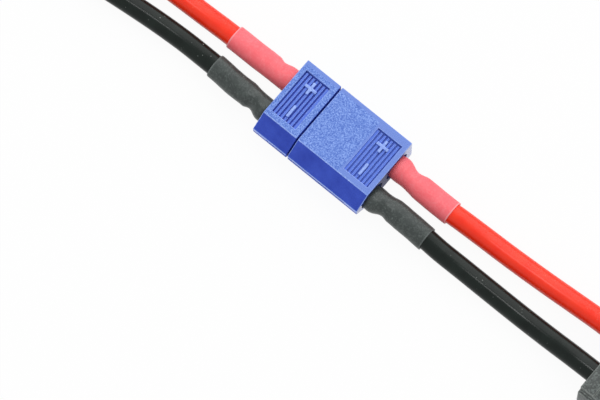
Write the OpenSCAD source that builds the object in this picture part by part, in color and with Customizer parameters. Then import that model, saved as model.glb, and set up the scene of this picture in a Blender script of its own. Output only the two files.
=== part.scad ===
// Mated two-pole battery connector with soldered silicone leads.
// Millimetres. +X runs along the mating axis from the plug to the socket,
// +Y is the positive side, +Z is up. The origin is on the table, under the middle of the mated pair.

/* [Housings] */
// Width of both housings, across the two poles
housing_w = 16.2; // [15.8:0.1:18]
// Height of both housings
housing_h = 8.1; // [8:0.1:9.5]
// Length of the plug's grip, behind its nose
grip_l = 8; // [7.7:0.05:9.2]
// Length of the socket housing, with its shroud
socket_l = 16.8; // [16.2:0.1:19]
// Gap between the two housings when they are fully home
parting_gap = 0.35; // [0.2:0.05:0.6]
// Leg of the two polarising chamfers on the negative side
key_chamfer = 3.15; // [2.6:0.05:3.3]
// Radius of the square corners on the positive side
corner_r = 0.25; // [0.2:0.05:0.8]
// Bevel round the end edges of both housings
edge_bevel = 0.12; // [0.1:0.02:0.3]
// Diameter of the recess that each sleeve goes into at the back faces
recess_d = 6; // [5.7:0.1:6.2]
// Depth of those recesses
recess_l = 0.9; // [0.5:0.1:0.95]

/* [Nose and shroud] */
// Wall of the shroud
shroud_wall = 1.25; // [1.1:0.05:1.3]
// Length of the plug's nose
nose_l = 8; // [7.6:0.1:8.6]
// Clearance round the nose inside the shroud
nose_clearance = 0.12; // [0.1:0.01:0.2]
// Space left past the tip of the nose
nose_end_clearance = 0.4; // [0.3:0.05:0.8]

/* [Finger panels] */
// Length of the recessed panels, along the connector
panel_l = 5.65; // [4.65:0.05:5.8]
// Width of the recessed panels
panel_w = 10.1; // [8:0.1:10.6]
// Depth of the recessed panels
panel_depth = 0.75; // [0.5:0.05:0.85]
// Distance from each back face to its panel
panel_margin = 1.05; // [0.7:0.05:1.2]
// How far the panels lie off the middle of the flat top, towards the chamfer
panel_offset = 0.25; // [0:0.05:0.5]
// Ribs on the floor of each panel
rib_count = 7; // [4:1:7]
// Width of a rib
rib_w = 0.45; // [0.3:0.05:0.6]
// Height of a rib above the panel floor
rib_h = 0.35; // [0.15:0.05:0.45]
// Share of the room beside a rib by which the ribs lie off the middle, away from the back face
rib_shift = 0.55; // [0:0.05:0.8]

/* [Side channel] */
// Height of the moulded channel along the narrow side
channel_h = 0.7; // [0.4:0.1:1.2]
// Depth of that channel
channel_depth = 0.25; // [0.1:0.05:0.4]
// Distance from each back face to the closed end of its channel
channel_end = 3.1; // [2:0.1:4]

/* [Contacts] */
// Distance between the two poles
pole_pitch = 7.2; // [7:0.1:7.6]
// Diameter of the pins
pin_d = 3.5; // [3.3:0.05:3.6]
// Length of the pins, out of the floor of the shroud
pin_l = 7.6; // [7:0.1:7.8]
// Radial running clearance of a pin in its sleeve contact
pin_clearance = 0.04; // [0.02:0.01:0.08]
// Width of the crossed slits that make the pin springy
slit_w = 0.4; // [0.3:0.05:0.6]
// Length of the slits
slit_l = 6; // [4:0.5:7]
// Outside diameter of the contact bodies
barrel_d = 4.3; // [4.2:0.05:4.4]
// Diameter of the locating collar
collar_d = 5.1; // [4.8:0.05:5.3]
// Length of the locating collar
collar_l = 1.2; // [0.8:0.1:1.6]
// Depth of the collar's seat from the back face
collar_seat = 2.2; // [1.8:0.1:3]
// Radial clearance of the contacts in their housings
seat_clearance = 0.03; // [0.02:0.01:0.05]
// Set-back of the sleeve contact from the end of the nose
contact_setback = 0.3; // [0.1:0.05:0.6]
// Depth left past the tip of the pin inside the sleeve contact
pin_end_clearance = 0.4; // [0.3:0.05:0.8]
// Bevel on the tip of the pin
pin_tip = 0.7; // [0.3:0.05:0.9]

/* [Solder cups] */
// Outside diameter of a solder cup
cup_d = 4.5; // [4.4:0.05:4.7]
// Bore of a solder cup
cup_bore_d = 3.3; // [3.1:0.05:3.5]
// Depth of a solder cup
cup_bore_l = 3.4; // [2.6:0.1:3.6]
// How far a cup stands out of its back face
cup_out = 2.2; // [1.8:0.1:2.4]
// Length of the cut-away on the outer side of a cup
cup_window_l = 1.4; // [0.8:0.1:1.6]
// Clearance between solder, conductor and cup
solder_clearance = 0.02; // [0.01:0.01:0.04]

/* [Leads] */
// Outside diameter of the silicone leads
lead_d = 4.2; // [3.6:0.1:4.3]
// Diameter of the stripped conductor
core_d = 2.4; // [2:0.05:2.6]
// Distance from a back face to the start of a lead's insulation
strip_l = 5; // [4.6:0.1:5.4]
// Length of the bare tinned ends
tinned_l = 6; // [4:0.5:10]

/* [Heat-shrink sleeves] */
// Length of a sleeve
sleeve_l = 13.6; // [11:0.2:16]
// Wall of a sleeve
sleeve_wall = 0.3; // [0.25:0.05:0.4]
// Clearance inside a sleeve
sleeve_clearance = 0.06; // [0.05:0.01:0.1]
// Inside radius at the neck, between the cup and the insulation
sleeve_neck_r = 1.85; // [1.8:0.05:2]
// Gap between the inner end of a sleeve and the floor of its recess
sleeve_gap = 0.15; // [0.1:0.05:0.3]

/* [End connector] */
// Length of the end connector, with its nose
end_l = 22; // [20:0.5:28]
// Width of the end connector
end_w = 19; // [18.6:0.1:21]
// Height of the end connector
end_h = 8.5; // [8.3:0.1:10]
// Width of the raised top
end_top_w = 17.2; // [14:0.1:18]
// Height of the raised top above the shoulders
end_top_h = 1; // [0.5:0.1:1.4]
// Length of the collar at the back of the raised top
end_collar_l = 3; // [2:0.1:4]
// Drop of the raised top in front of the collar
end_step = 0.4; // [0.2:0.1:0.5]
// Bevel along the long edges of the end connector
end_bevel = 0.4; // [0.2:0.1:0.6]
// Length of the nose at the front
end_nose_l = 8; // [6:0.5:9]
// Set-back of the nose from the sides, top and bottom of the body
end_nose_inset = 1.3; // [0.8:0.1:1.4]
// Width of the slots that take the mating blades
blade_slot_w = 6.6; // [6.2:0.1:6.8]
// Height of those slots
blade_slot_h = 2.6; // [2.4:0.1:3]
// Thickness of the blade contacts
blade_t = 0.8; // [0.6:0.1:1]
// Set-back of the blades from the front of the end connector
blade_setback = 1.5; // [0.8:0.1:3]
// Clearance of the blades at the sides of their slots
blade_clearance = 0.15; // [0.1:0.05:0.2]
// Radial clearance of a lead in its entry
entry_clearance = 0.2; // [0.1:0.05:0.3]
// Length of a lead inside the end connector
entry_lead_l = 3.5; // [2.5:0.5:5]
// Length of the crimp barrels
crimp_l = 4; // [3:0.5:5]
// Wall of the crimp barrels
crimp_wall = 0.5; // [0.4:0.05:0.6]
// Bare conductor between a lead and its crimp barrel
crimp_gap = 0.6; // [0.4:0.1:1]

/* [Hidden] */
$fn = 64;

// Small overlap that keeps a cut from ending on a face
over = 0.5;
// Small overlap that makes one body of two shapes that meet
join = 0.1;
pair_l = grip_l + parting_gap + socket_l;
plug_back = -pair_l / 2;
socket_back = pair_l / 2;
grip_front = plug_back + grip_l;
shroud_mouth = grip_front + parting_gap;
nose_tip = grip_front + nose_l;
shroud_floor = nose_tip + nose_end_clearance;
nose_inset = shroud_wall + nose_clearance;
axis_z = housing_h / 2;
pole_y = pole_pitch / 2;
panel_y = key_chamfer / 2 - panel_offset;
pin_tip_x = shroud_floor - pin_l;
rib_pitch = panel_l / rib_count;
rib_room = (rib_pitch - rib_w) / 2;
cup_floor = cup_bore_l - cup_out;
// Smallest radius left on the corners of an inset outline
least_corner_r = 0.15;
// Length of the solder fillet behind a cup, and its thickness where it ends on the conductor
fillet_l = 1;
fillet_edge = 0.15;
// Where a sleeve starts inside its recess, from the back face
sleeve_start = sleeve_gap - min(recess_l, collar_seat - collar_l);
// How far a sleeve keeps its size past the cup and in front of the insulation
sleeve_lap = 0.1;
// Length of the two slopes between a sleeve's neck and its full size
neck_slope_l = 0.8;

// Where each lead runs, from its solder cup outwards, lying down on the table
plug_route_positive = [
    [-21, 3.58, 3.65], [-25, 3.68, 3.1], [-29, 3.73, 2.6], [-34, 3.63, 2.2], [-40, 3.45, 2.15],
    [-46, 3.2, 2.15], [-52, 3, 2.15], [-58, 3, 2.15], [-62.5, 3, 2.15]
];
plug_route_negative = [
    [-21, -3.3, 3.65], [-25, -2.94, 3.1], [-29, -2.79, 2.6], [-34, -2.75, 2.2], [-40, -3.07, 2.15],
    [-46, -3.6, 2.15], [-52, -4.2, 2.15], [-58, -4.5, 2.15], [-62.5, -4.5, 2.15]
];
socket_route_positive = [
    [21, 3.35, 3.65], [25, 3.45, 3.1], [29, 3.75, 2.6], [34, 4, 2.2], [40, 4.2, 2.15],
    [48, 4.6, 2.25], [55, 4.95, 2.9], [60.5, 5.1, 3.8], [65.4, 5.1, 4.25], [69.4, 5.1, 4.25]
];
socket_route_negative = [
    [21, -3.25, 3.65], [25, -3.3, 3.1], [29, -3.4, 2.6], [34, -3.3, 2.2], [40, -3.3, 2.15],
    [48, -3.3, 2.25], [55, -3.3, 2.9], [60.5, -3.3, 3.8], [65.4, -3.3, 4.25], [69.4, -3.3, 4.25]
];
lead_sides = 12;
sleeve_sides = 24;

// The end connector sits where the two socket leads come together
lead_end_positive = socket_route_positive[len(socket_route_positive) - 1];
lead_end_negative = socket_route_negative[len(socket_route_negative) - 1];
end_back = lead_end_positive.x - entry_lead_l;
end_front = end_back + end_l;
end_y = (lead_end_positive.y + lead_end_negative.y) / 2;
end_z = lead_end_positive.z;
end_body_front = end_front - end_nose_l;
end_shoulder = end_h - end_top_h;
crimp_x = lead_end_positive.x + crimp_gap;
blade_x = crimp_x + crimp_l;
// Solid neck between a crimp's bore and its blade
crimp_neck = 0.5;
// How far the wide slot reaches back past the root of its blade
slot_reach = 0.8;

// Turns a profile drawn in Y and Z into a bar from x0 to x1
module bar_x(x0, x1) {
    translate([x0, 0, 0]) rotate([90, 0, 90]) linear_extrude(x1 - x0) children();
}

// Round bar along X
module rod_x(x0, x1, d) {
    translate([x0, 0, 0]) rotate([0, 90, 0]) cylinder(h = x1 - x0, d = d);
}

// Turned shape round the X axis; its profile is a list of [x, radius] that starts and ends on the axis
module turned(profile) {
    rotate([0, 90, 0]) rotate_extrude() polygon([for (p = profile) [p[1], p[0]]]);
}

// Outline of a housing, seen along X: square on the positive side, chamfered on the negative side
module section(inset = 0) {
    half = housing_w / 2 - inset;
    leg = key_chamfer - inset * (2 - sqrt(2));
    low = inset;
    high = housing_h - inset;
    r = max(corner_r - inset, least_corner_r);
    polygon(concat(
        [[-half + leg, low]],
        [for (a = [-90 : 15 : 0]) [half - r + r * cos(a), low + r + r * sin(a)]],
        [for (a = [0 : 15 : 90]) [half - r + r * cos(a), high - r + r * sin(a)]],
        [[-half + leg, high], [-half, high - leg], [-half, low + leg]]
    ));
}

// Recess with ribs on its floor, cut into the top and the bottom at x0; dir is 1 if the ribs shift to +X
module finger_panels(x0, dir) {
    for (side = [0, 1])
        translate([0, 0, side * housing_h]) mirror([0, 0, 1 - side])
            translate([x0, panel_y - panel_w / 2, -panel_depth]) difference() {
                cube([panel_l, panel_w, panel_depth + over]);
                for (i = [0 : rib_count - 1])
                    translate([i * rib_pitch + (1 + dir * rib_shift) * rib_room, -over, -over])
                        cube([rib_w, panel_w + 2 * over, rib_h + over]);
            }
}

// Channel along the middle of the narrow side, from x0 to x1
module side_channel(x0, x1) {
    translate([x0, -housing_w / 2 - over, axis_z - channel_h / 2])
        cube([x1 - x0, channel_depth + over, channel_h]);
}

// Bevels round the outline at x, inset from the outside of the housing
module outline_bevel(x, inset = 0) {
    edge = edge_bevel * sqrt(2);
    wide = housing_w / 2 - inset;
    tall = housing_h / 2 - inset;
    slant = (housing_w / 2 + housing_h / 2 - key_chamfer) / sqrt(2) - inset;
    for (face = [[0, wide], [90, tall], [135, slant], [180, wide], [225, slant], [270, tall]])
        translate([x, 0, axis_z]) rotate([face[0], 0, 0]) translate([0, face[1], 0]) rotate([0, 0, 45])
            cube([edge, edge, 2 * housing_w], center = true);
}

// Round pocket from a back face at x, to the depth l; dir is 1 into +X
module pocket(x, dir, l, d) {
    rod_x(min(x - dir * over, x + dir * l), max(x - dir * over, x + dir * l), d);
}

// Bores for the two contacts, with their collar seats and the recesses for the sleeves
module contact_bores(x, dir, far) {
    for (pole = [-1, 1])
        translate([0, pole * pole_y, axis_z]) {
            rod_x(min(x, far) - over, max(x, far) + over, barrel_d + 2 * seat_clearance);
            pocket(x, dir, collar_seat, collar_d + 2 * seat_clearance);
            pocket(x, dir, recess_l, recess_d);
        }
}

module plug_housing() color([0.36, 0.45, 0.86]) difference() {
    union() {
        bar_x(plug_back, grip_front) section();
        bar_x(grip_front - over, nose_tip) section(nose_inset);
    }
    finger_panels(plug_back + panel_margin, 1);
    side_channel(plug_back + channel_end, grip_front + over);
    outline_bevel(plug_back);
    outline_bevel(grip_front);
    outline_bevel(nose_tip, nose_inset);
    contact_bores(plug_back, 1, nose_tip);
}

module socket_housing() color([0.36, 0.45, 0.86]) difference() {
    bar_x(shroud_mouth, socket_back) section();
    bar_x(shroud_mouth - over, shroud_floor) section(shroud_wall);
    finger_panels(socket_back - panel_margin - panel_l, -1);
    side_channel(shroud_mouth - over, socket_back - channel_end);
    outline_bevel(shroud_mouth);
    outline_bevel(socket_back);
    contact_bores(socket_back, -1, shroud_floor);
}

// Collar and solder cup of a contact. Its back face is at x = 0, the cup points to -X
// and the cut-away faces +Y.
module cup_end() difference() {
    union() {
        rod_x(-cup_out, collar_seat, cup_d);
        rod_x(collar_seat - collar_l, collar_seat, collar_d);
    }
    rod_x(-cup_out - over, cup_floor, cup_bore_d);
    translate([-cup_out - over, core_d / 2 + solder_clearance, -cup_d])
        cube([cup_window_l + over, cup_d, 2 * cup_d]);
}

// Puts a contact, drawn with its back face at x = 0 and its cup to -X, into the plug
module in_plug(pole) {
    translate([plug_back, pole * pole_y, axis_z]) mirror([0, (1 - pole) / 2, 0]) children();
}

// The same for the socket, whose cups point to +X
module in_socket(pole) {
    translate([socket_back, pole * pole_y, axis_z])
        mirror([1, 0, 0]) mirror([0, (1 - pole) / 2, 0]) children();
}

module sleeve_contact() {
    mouth = nose_tip - contact_setback - plug_back;
    difference() {
        union() {
            cup_end();
            rod_x(collar_seat - join, mouth, barrel_d);
        }
        rod_x(pin_tip_x - pin_end_clearance - plug_back, mouth + over, pin_d + 2 * pin_clearance);
    }
}

module pin_contact() {
    root = socket_back - shroud_floor;
    tip = root + pin_l;
    barrel_r = barrel_d / 2;
    pin_r = pin_d / 2;
    difference() {
        union() {
            cup_end();
            turned([
                [collar_seat - join, 0], [collar_seat - join, barrel_r], [root, barrel_r],
                [root, pin_r], [tip - pin_tip, pin_r], [tip, pin_r - pin_tip], [tip, 0]
            ]);
        }
        for (turn = [45, 135])
            rotate([turn, 0, 0])
                translate([tip - slit_l, -slit_w / 2, -pin_d])
                    cube([slit_l + over, slit_w, 2 * pin_d]);
    }
}

// Solder that fills a cup round the conductor and rises in a fillet behind it
module solder_fill() {
    fill_r = cup_bore_d / 2 - solder_clearance;
    fillet_end = -cup_out - fillet_l;
    fill_end = cup_floor - solder_clearance;
    difference() {
        turned([
            [fillet_end, 0], [fillet_end, core_d / 2 + fillet_edge], [-cup_out, fill_r],
            [fill_end, fill_r], [fill_end, 0]
        ]);
        rod_x(fillet_end - over, cup_floor + over, core_d + 2 * solder_clearance);
        translate([fillet_end - over, core_d / 2 + solder_clearance, -cup_d])
            cube([cup_window_l + fillet_l + over, cup_d, 2 * cup_d]);
    }
}

// Stripped end of a lead, from the floor of its cup to its insulation
module conductor() {
    rod_x(-strip_l, cup_floor - solder_clearance, core_d);
}

function unit(v) = v / norm(v);

// Direction of a path at point i; its ends run along X
function heading(path, i) =
    i == 0 ? unit([path[1].x - path[0].x, 0, 0]) :
    i == len(path) - 1 ? unit([path[i].x - path[i - 1].x, 0, 0]) :
    unit(path[i + 1] - path[i - 1]);

// Ring of n points of radius r round point i of a path
function ring(path, i, r, n) =
    let (t = heading(path, i), side = unit(cross(t, [0, 0, 1])), up = cross(side, t))
    [for (k = [0 : n - 1]) path[i] + r * (cos(360 * k / n) * side + sin(360 * k / n) * up)];

function flat(lists) = [for (l = lists) for (p = l) p];

// Two triangles for each side of the band between ring a and ring b
function band(a, b, n) = [
    for (k = [0 : n - 1]) let (m = (k + 1) % n)
        each [[a * n + k, b * n + m, b * n + k], [a * n + k, a * n + m, b * n + m]]
];

// Solid round bar along a path
module swept_bar(path, d, n) {
    last = len(path) - 1;
    polyhedron(
        points = flat([for (i = [0 : last]) ring(path, i, d / 2, n)]),
        faces = concat(
            [[for (k = [n - 1 : -1 : 0]) k]],
            [for (i = [0 : last - 1]) each band(i, i + 1, n)],
            [[for (k = [0 : n - 1]) last * n + k]]
        ),
        convexity = 4
    );
}

// Hollow skin along a path, with its own inner radius at each point
module swept_skin(path, inner, wall, n) {
    last = len(path) - 1;
    outside = [for (i = [0 : last]) ring(path, i, inner[i] + wall, n)];
    inside = [for (i = [last : -1 : 0]) ring(path, i, inner[i], n)];
    count = 2 * (last + 1);
    polyhedron(
        points = flat(concat(outside, inside)),
        faces = [for (i = [0 : count - 1]) each band(i, (i + 1) % count, n)],
        convexity = 6
    );
}

// Route of a lead with its start put where the insulation begins
function lead_path(back, dir, route) =
    concat([[back + dir * strip_l, route[0].y, axis_z]], route);

// Middle of a heat-shrink sleeve at distance s from the back face
function sleeve_point(back, dir, pole, route, s) =
    let (
        x = back + dir * s,
        path = lead_path(back, dir, route),
        free_y = lookup(dir * x, [for (p = path) [dir * p.x, p.y]]),
        free_z = lookup(dir * x, [for (p = path) [dir * p.x, p.z]]),
        in_cup = lookup(s, [[cup_out, 1], [strip_l - neck_slope_l, 0]])
    )
    [x, in_cup * pole * pole_y + (1 - in_cup) * free_y, in_cup * axis_z + (1 - in_cup) * free_z];

module sleeve(back, dir, pole, route) {
    cup_r = cup_d / 2 + sleeve_clearance;
    lead_r = lead_d / 2 + sleeve_clearance;
    cup_edge = cup_out + sleeve_lap;
    neck_start = cup_edge + neck_slope_l;
    lead_edge = strip_l - sleeve_lap;
    neck_end = lead_edge - neck_slope_l;
    first_bend = dir * (route[0].x - back);
    shape = [
        [cup_edge, cup_r], [neck_start, sleeve_neck_r], [neck_end, sleeve_neck_r], [lead_edge, lead_r]
    ];
    stations = [
        sleeve_start, cup_out / 2, cup_edge, (cup_edge + neck_start) / 2, neck_start,
        neck_end, (neck_end + lead_edge) / 2, lead_edge, strip_l + neck_slope_l, first_bend, sleeve_l
    ];
    swept_skin(
        [for (s = stations) sleeve_point(back, dir, pole, route, s)],
        [for (s = stations) lookup(s, shape)],
        sleeve_wall, sleeve_sides
    );
}

red_sleeve = [0.95, 0.38, 0.42];
black_sleeve = [0.27, 0.29, 0.28];
red_lead = [0.93, 0.16, 0.1];
black_lead = [0.15, 0.17, 0.16];
gold = [0.85, 0.66, 0.28];
copper = [0.72, 0.45, 0.3];
tin = [0.75, 0.75, 0.76];

module plug_sleeve(pole, route) {
    color(pole > 0 ? red_sleeve : black_sleeve) sleeve(plug_back, -1, pole, route);
}

module socket_sleeve(pole, route) {
    color(pole > 0 ? red_sleeve : black_sleeve) sleeve(socket_back, 1, pole, route);
}

module lead(back, dir, pole, route) {
    color(pole > 0 ? red_lead : black_lead)
        swept_bar(lead_path(back, dir, route), lead_d, lead_sides);
}

// Bare end of a lead, tinned and slightly rounded at its tip
module tinned_end(route) color(tin) {
    core_r = core_d / 2;
    round_l = core_r / 2;
    translate(route[len(route) - 1]) mirror([1, 0, 0]) turned([
        [0, 0], [0, core_r], [tinned_l - round_l, core_r], [tinned_l, core_r - round_l], [tinned_l, 0]
    ]);
}

// Bar along X with bevelled long edges, w wide and from z0 to z1 high
module bevelled_bar(x0, x1, w, z0, z1) {
    half = w / 2;
    e = end_bevel;
    translate([0, end_y, 0]) bar_x(x0, x1) polygon([
        [-half + e, z0], [half - e, z0], [half, z0 + e], [half, z1 - e],
        [half - e, z1], [-half + e, z1], [-half, z1 - e], [-half, z0 + e]
    ]);
}

// Black two-pole housing that takes the two socket leads at its back
module end_housing() color([0.2, 0.21, 0.21]) difference() {
    union() {
        bevelled_bar(end_back, end_body_front, end_w, 0, end_shoulder);
        bevelled_bar(end_back, end_back + end_collar_l, end_top_w, end_shoulder - end_top_h, end_h);
        bevelled_bar(end_back, end_body_front, end_top_w, end_shoulder - end_top_h, end_h - end_step);
        bevelled_bar(end_body_front - over, end_front, end_w - 2 * end_nose_inset,
            end_nose_inset, end_h - end_nose_inset);
    }
    for (lead_end = [lead_end_positive, lead_end_negative])
        translate([0, lead_end.y, end_z]) {
            rod_x(end_back - over, blade_x + crimp_neck, lead_d + 2 * entry_clearance);
            translate([blade_x - slot_reach, -blade_slot_w / 2, -blade_slot_h / 2])
                cube([end_l, blade_slot_w, blade_slot_h]);
        }
}

// Crimp barrel with a flat spring blade, inside the end housing
module end_contact(lead_end) color(gold) {
    bore_d = core_d + 2 * solder_clearance;
    blade_w = blade_slot_w - 2 * blade_clearance;
    translate([0, lead_end.y, end_z]) {
        difference() {
            rod_x(crimp_x, blade_x, bore_d + 2 * crimp_wall);
            rod_x(crimp_x - over, blade_x - crimp_neck, bore_d);
        }
        translate([blade_x - crimp_neck, -blade_w / 2, -blade_slot_h / 2])
            cube([end_front - blade_setback - blade_x + crimp_neck, blade_w, blade_t]);
    }
}

module end_conductor(lead_end) color(copper) {
    translate([0, lead_end.y, end_z]) rod_x(lead_end.x, blade_x - crimp_neck - solder_clearance, core_d);
}

plug_housing();
color(gold) in_plug(1) sleeve_contact();  // plug_contact_positive
color(gold) in_plug(-1) sleeve_contact();  // plug_contact_negative
color(tin) in_plug(1) solder_fill();  // plug_solder_positive
color(tin) in_plug(-1) solder_fill();  // plug_solder_negative
color(copper) in_plug(1) conductor();  // plug_conductor_positive
color(copper) in_plug(-1) conductor();  // plug_conductor_negative
plug_sleeve(1, plug_route_positive);  // plug_sleeve_positive
plug_sleeve(-1, plug_route_negative);  // plug_sleeve_negative
lead(plug_back, -1, 1, plug_route_positive);  // plug_lead_positive
lead(plug_back, -1, -1, plug_route_negative);  // plug_lead_negative
tinned_end(plug_route_positive);  // tinned_end_positive
tinned_end(plug_route_negative);  // tinned_end_negative
socket_housing();
color(gold) in_socket(1) pin_contact();  // socket_pin_positive
color(gold) in_socket(-1) pin_contact();  // socket_pin_negative
color(tin) in_socket(1) solder_fill();  // socket_solder_positive
color(tin) in_socket(-1) solder_fill();  // socket_solder_negative
color(copper) in_socket(1) conductor();  // socket_conductor_positive
color(copper) in_socket(-1) conductor();  // socket_conductor_negative
socket_sleeve(1, socket_route_positive);  // socket_sleeve_positive
socket_sleeve(-1, socket_route_negative);  // socket_sleeve_negative
lead(socket_back, 1, 1, socket_route_positive);  // socket_lead_positive
lead(socket_back, 1, -1, socket_route_negative);  // socket_lead_negative
end_housing();
end_contact(lead_end_positive);  // end_contact_positive
end_contact(lead_end_negative);  // end_contact_negative
end_conductor(lead_end_positive);  // end_conductor_positive
end_conductor(lead_end_negative);  // end_conductor_negative
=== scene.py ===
"""A mated pair of blue two-pole battery connectors on soldered silicone leads, lying on a white table.

The plug's leads end bare and tinned, and the socket's leads end in a black two-pole end connector.
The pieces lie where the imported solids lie, in the same frame: X along the mating axis from the plug
to the socket, Y to the positive pole, Z up from the table. Lengths are in metres, except where a
comment says mm.
"""

import math

import bmesh
import bpy
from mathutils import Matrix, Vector


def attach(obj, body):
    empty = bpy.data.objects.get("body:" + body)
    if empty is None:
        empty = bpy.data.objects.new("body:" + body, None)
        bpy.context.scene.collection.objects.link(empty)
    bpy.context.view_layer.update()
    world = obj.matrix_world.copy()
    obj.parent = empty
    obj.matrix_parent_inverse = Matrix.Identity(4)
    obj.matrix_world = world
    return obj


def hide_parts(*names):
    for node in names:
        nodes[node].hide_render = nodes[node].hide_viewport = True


MM = 0.001
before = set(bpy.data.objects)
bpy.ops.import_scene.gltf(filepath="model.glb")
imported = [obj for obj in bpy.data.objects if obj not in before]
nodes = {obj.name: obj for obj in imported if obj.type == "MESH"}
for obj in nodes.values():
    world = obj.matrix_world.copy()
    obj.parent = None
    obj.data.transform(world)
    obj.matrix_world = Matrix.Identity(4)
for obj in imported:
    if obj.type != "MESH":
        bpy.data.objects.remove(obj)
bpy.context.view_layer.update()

# Sizes of the two housings, the same as the solids'
HOUSING_W = 16.2 * MM
HOUSING_H = 8.1 * MM
GRIP_L = 8 * MM
SOCKET_L = 16.8 * MM
PARTING_GAP = 0.35 * MM
NOSE_L = 8 * MM
NOSE_END_CLEARANCE = 0.4 * MM
NOSE_CLEARANCE = 0.12 * MM
SHROUD_WALL = 1.25 * MM
KEY_CHAMFER = 3.15 * MM
CORNER_R = 0.25 * MM
POLE_Y = 3.6 * MM
BORE_D = 4.36 * MM
SEAT_D = 5.16 * MM
SEAT_L = 2.2 * MM
RECESS_D = 6 * MM
RECESS_L = 0.9 * MM
CHANNEL_W = 0.7 * MM
CHANNEL_DEPTH = 0.25 * MM
CHANNEL_FROM_BACK = 3.1 * MM
PANEL_L = 5.65 * MM
PANEL_W = 10.1 * MM
PANEL_DEPTH = 0.75 * MM
PANEL_MARGIN = 1.05 * MM
PANEL_OFFSET = 0.25 * MM
RIBS = 7
RIB_W = 0.45 * MM
RIB_H = 0.35 * MM
# Share of half a groove that the ribs are shifted by
RIB_SHIFT = 0.55
# Gaps between the ribs' ends and the panel's walls, on the negative and the positive side
RIB_END_GAPS = (0.08 * MM, 0.25 * MM)
LEAD_D = 4.2 * MM

# Where their faces lie
AXIS_Z = HOUSING_H / 2
SOCKET_BACK = (GRIP_L + PARTING_GAP + SOCKET_L) / 2
PLUG_BACK = -SOCKET_BACK
GRIP_FRONT = PLUG_BACK + GRIP_L
SHROUD_MOUTH = GRIP_FRONT + PARTING_GAP
NOSE_TIP = GRIP_FRONT + NOSE_L
SHROUD_FLOOR = NOSE_TIP + NOSE_END_CLEARANCE
CHAMFER_Y = KEY_CHAMFER - HOUSING_W / 2
PANEL_Y = KEY_CHAMFER / 2 - PANEL_OFFSET
PANEL_X = SOCKET_BACK - PANEL_MARGIN
PANEL_START = {"plug": -PANEL_X, "socket": PANEL_X - PANEL_L}
RIB_PITCH = PANEL_L / RIBS
RIB_OFFSET = RIB_SHIFT * (RIB_PITCH - RIB_W) / 2
# Back face of each housing, and which way along X it faces
BACKS = {"plug": (PLUG_BACK, -1), "socket": (SOCKET_BACK, 1)}

# Roundings of the mouldings' edges, which carry a painted highlight, and how far the rounded front rim
# of the plug reaches, where the painted highlight is left off
MOULD_ROUND = 0.12 * MM
CHANNEL_ROUND = 0.06 * MM
PANEL_ROUND = 0.11 * MM
RIB_ROUND = 0.06 * MM
RIM_REACH = 0.13 * MM

# Signs in the panels: reach from their middle, half width, how deep they sink into the panel's floor
# and stay under the face, and their places
SIGN_REACH = 1.35 * MM
SIGN_HALF_W = 0.3 * MM
SIGN_SINK = 0.05 * MM
SIGN_ROUND = 0.12 * MM
SIGNS = (("plus", 4.1 * MM, True), ("minus", -1.5 * MM, False))

# How near a face or an edge has to lie to a place to count as there
HAIR = 0.01 * MM
SKIN_NEAR = 0.02 * MM
NEAR = 0.1 * MM
# How squarely a normal or an edge has to point along an axis
SQUARE = 0.9
LEVEL = 0.99
# How far a cutter reaches past the face that it cuts
CUT_PAST = 1 * MM

# Camera of the photograph: not tilted sideways, and far enough away to see hardly any perspective
AZIMUTH = math.radians(39.8)
ELEVATION = math.radians(76)
# Width that one pixel spans at the aim
PIXEL = 0.186 * MM
DISTANCE = 1.2
SENSOR = 36
CLIP = (0.05, 20)
FRAME_W, FRAME_H = 600, 400
AIM_PIXEL = (332.5, 133.8)
AIM_POINT = Vector((0, 0, HOUSING_H))


def place_camera():
    """Puts the middle of the housings' top at its place in the picture; returns the picture's right."""
    right = Vector((math.cos(AZIMUTH), math.sin(AZIMUTH), 0))
    level_back = Vector((math.sin(AZIMUTH), -math.cos(AZIMUTH), 0))
    back = level_back * math.cos(ELEVATION) + Vector((0, 0, math.sin(ELEVATION)))
    up = back.cross(right)
    target = AIM_POINT - right * (AIM_PIXEL[0] - FRAME_W / 2) * PIXEL
    target += up * (AIM_PIXEL[1] - FRAME_H / 2) * PIXEL
    bpy.ops.object.camera_add(location=target + back * DISTANCE)
    camera = bpy.context.object
    camera.rotation_mode = "QUATERNION"
    camera.rotation_quaternion = (-back).to_track_quat("-Z", "Y")
    camera.data.sensor_width = SENSOR
    camera.data.lens = SENSOR * DISTANCE / (FRAME_W * PIXEL)
    camera.data.clip_start, camera.data.clip_end = CLIP
    bpy.context.scene.camera = camera
    return right


# Node trees


# Grid that the nodes are laid out on, left of the shader
NODE_STEP_X, NODE_STEP_Y = 220, 300
NODES_IN_ROW = 8


def node(tree, kind, **values):
    """Adds a node at the next place of the grid, with properties or inputs set by name."""
    row, column = divmod(len(tree.nodes), NODES_IN_ROW)
    made = tree.nodes.new(kind)
    made.location = ((column - NODES_IN_ROW) * NODE_STEP_X, -row * NODE_STEP_Y)
    for name, value in values.items():
        if hasattr(made, name):
            setattr(made, name, value)
        else:
            made.inputs[name.replace("_", " ").title()].default_value = value
    return made


def fill(tree, socket, given):
    """Links a socket to another, or sets its value."""
    if isinstance(given, bpy.types.NodeSocket):
        tree.links.new(given, socket)
    else:
        socket.default_value = given


def maths(tree, operation, a, b=0.0):
    made = node(tree, "ShaderNodeMath", operation=operation)
    fill(tree, made.inputs[0], a)
    fill(tree, made.inputs[1], b)
    return made.outputs[0]


def both(tree, a, b):
    """Where two masks overlap."""
    return maths(tree, "MULTIPLY", a, b)


def either(tree, a, b):
    """Where at least one of two masks is."""
    return maths(tree, "MAXIMUM", a, b)


def spread(tree, value, low, high, least=0.0, most=1.0):
    """Runs from least to most as a value goes from low to high."""
    made = node(tree, "ShaderNodeMapRange", from_min=low, from_max=high, to_min=least, to_max=most)
    tree.links.new(value, made.inputs["Value"])
    return made.outputs["Result"]


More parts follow.
